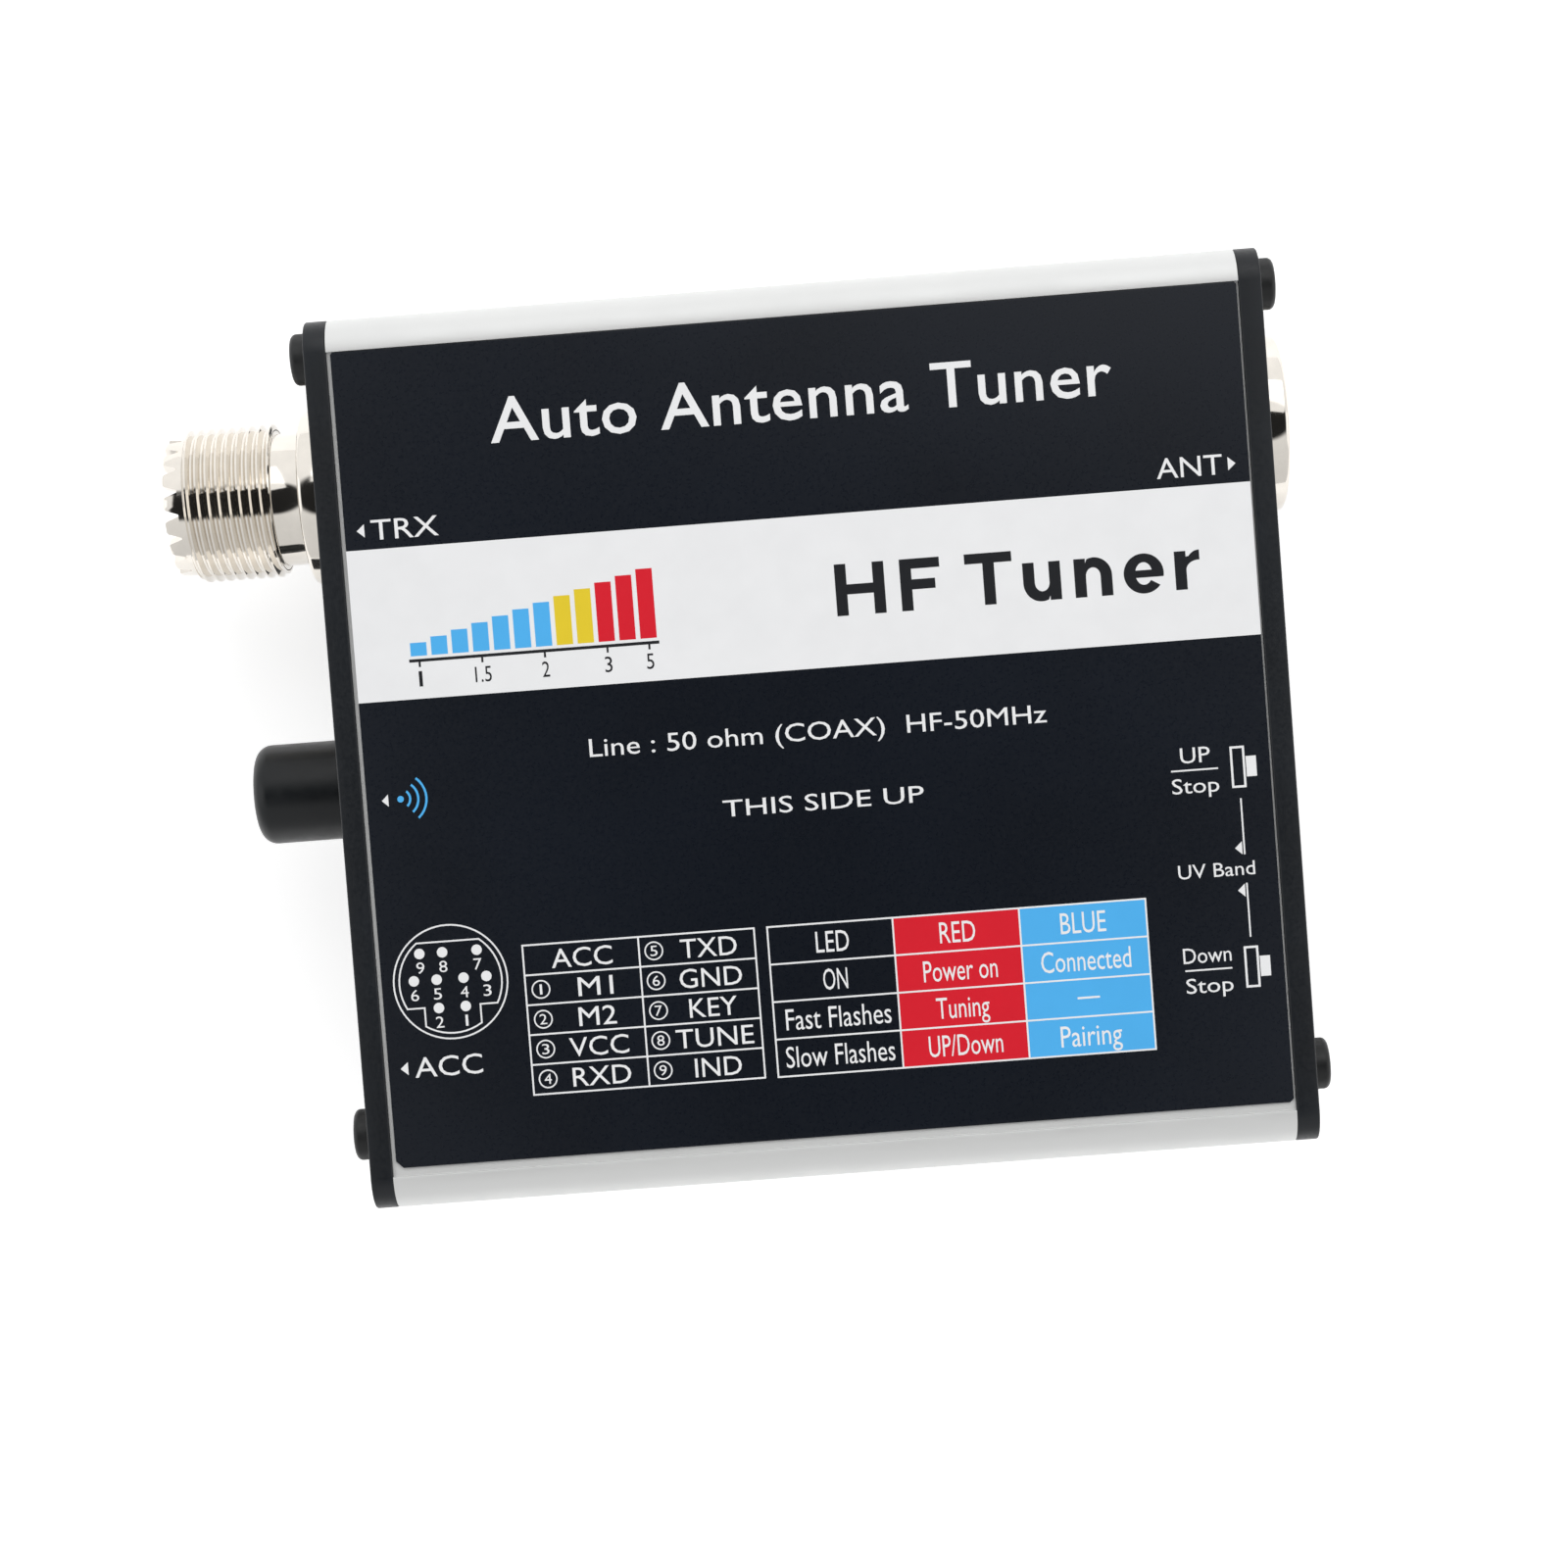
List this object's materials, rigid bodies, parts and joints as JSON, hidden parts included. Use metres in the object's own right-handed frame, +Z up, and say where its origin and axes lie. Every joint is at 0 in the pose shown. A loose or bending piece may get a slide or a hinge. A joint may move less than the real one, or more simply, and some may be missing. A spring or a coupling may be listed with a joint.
{
  "type": "antenna tuner",
  "caption": "Small antenna tuner in a split aluminium box with black end plates, a printed top film, coaxial sockets, a stub antenna and two push buttons.",
  "frame": {"origin": "centre of the underside of the extrusion", "axes": "+X along the extrusion from the transceiver end plate to the antenna end plate, +Y to the side with the coaxial connectors, +Z up out of the printed top"},
  "size_m": [0.1142, 0.088, 0.038],
  "materials": {
    "satin_aluminium": "satin anodised, extrusion lines along X",
    "printed_film": "semi-gloss printed film",
    "black_plate": "black anodised, satin",
    "black_screw": "black oxide",
    "nickel": "bright nickel plate",
    "zinc_steel": "zinc plate",
    "white_insulator": "matte",
    "contact_brass": "plated brass",
    "black_rubber": "satin rubber",
    "black_plastic": "satin moulded",
    "green_board": "solder mask",
    "tinned_copper": "tinned",
    "red_lens": "diffused lens",
    "blue_lens": "diffused lens",
    "amber_lens": "diffused lens",
    "powder_core": "coated iron powder",
    "enamelled_wire": "enamelled copper",
    "relay_case": "moulded case",
    "dark_chip": "moulded epoxy",
    "capacitor_case": "sleeved can"
  },
  "bodies": {
    "case": {"acc_socket_block": "black_plastic", "acc_socket_contacts": "contact_brass", "acc_socket_insert": "black_plastic", "acc_socket_shell": "nickel", "ant_lead": "tinned_copper", "ant_lock_washer": "zinc_steel", "ant_nut": "nickel", "ant_socket_body": "nickel", "ant_socket_contact": "contact_brass", "ant_socket_insulator": "white_insulator", "controller_chip": "dark_chip", "coupler_core": "powder_core", "coupler_wire": "tinned_copper", "down_snap_dome": "tinned_copper", "down_switch_body": "black_plastic", "inductor_core_1": "powder_core", "inductor_core_2": "powder_core", "inductor_winding_1": "enamelled_wire", "inductor_winding_2": "enamelled_wire", "lamp_band": "amber_lens", "lamp_blue": "blue_lens", "lamp_red": "red_lens", "left_end_plate": "black_plate", "left_plate_screws": "black_screw", "lower_shell": "satin_aluminium", "main_board": "green_board", "regulator": "dark_chip", "relay_1": "relay_case", "relay_2": "relay_case", "relay_3": "relay_case", "relay_4": "relay_case", "reservoir_capacitors": "capacitor_case", "right_end_plate": "black_plate", "right_plate_screws": "black_screw", "stub_antenna_coil": "contact_brass", "stub_antenna_collar": "contact_brass", "stub_antenna_sleeve": "black_rubber", "top_label": "printed_film", "trx_jack_body": "nickel", "trx_jack_contact": "contact_brass", "trx_jack_insulator": "white_insulator", "trx_lead": "tinned_copper", "trx_lock_washer": "zinc_steel", "trx_nut": "nickel", "tuning_capacitors": "capacitor_case", "up_snap_dome": "tinned_copper", "up_switch_body": "black_plastic", "upper_shell": "satin_aluminium", "wireless_board": "green_board", "wireless_jack_body": "contact_brass", "wireless_jack_insulator": "white_insulator", "wireless_jack_nut": "nickel", "wireless_jack_pin": "contact_brass", "wireless_jack_washer": "zinc_steel", "wireless_pigtail": "black_plastic", "wireless_shield": "zinc_steel"},
    "up_key": {"up_button": "black_plastic"},
    "down_key": {"down_button": "black_plastic"}
  },
  "joints": [
    {"name": "up_press", "type": "slide", "parent": "case", "child": "up_key", "axis": [-1, 0, 0], "range_m": [0, 0.00025], "stiffness_N_per_m": 4000, "springref_m": -0.00015},
    {"name": "down_press", "type": "slide", "parent": "case", "child": "down_key", "axis": [-1, 0, 0], "range_m": [0, 0.00025], "stiffness_N_per_m": 4000, "springref_m": -0.00015}
  ]
}
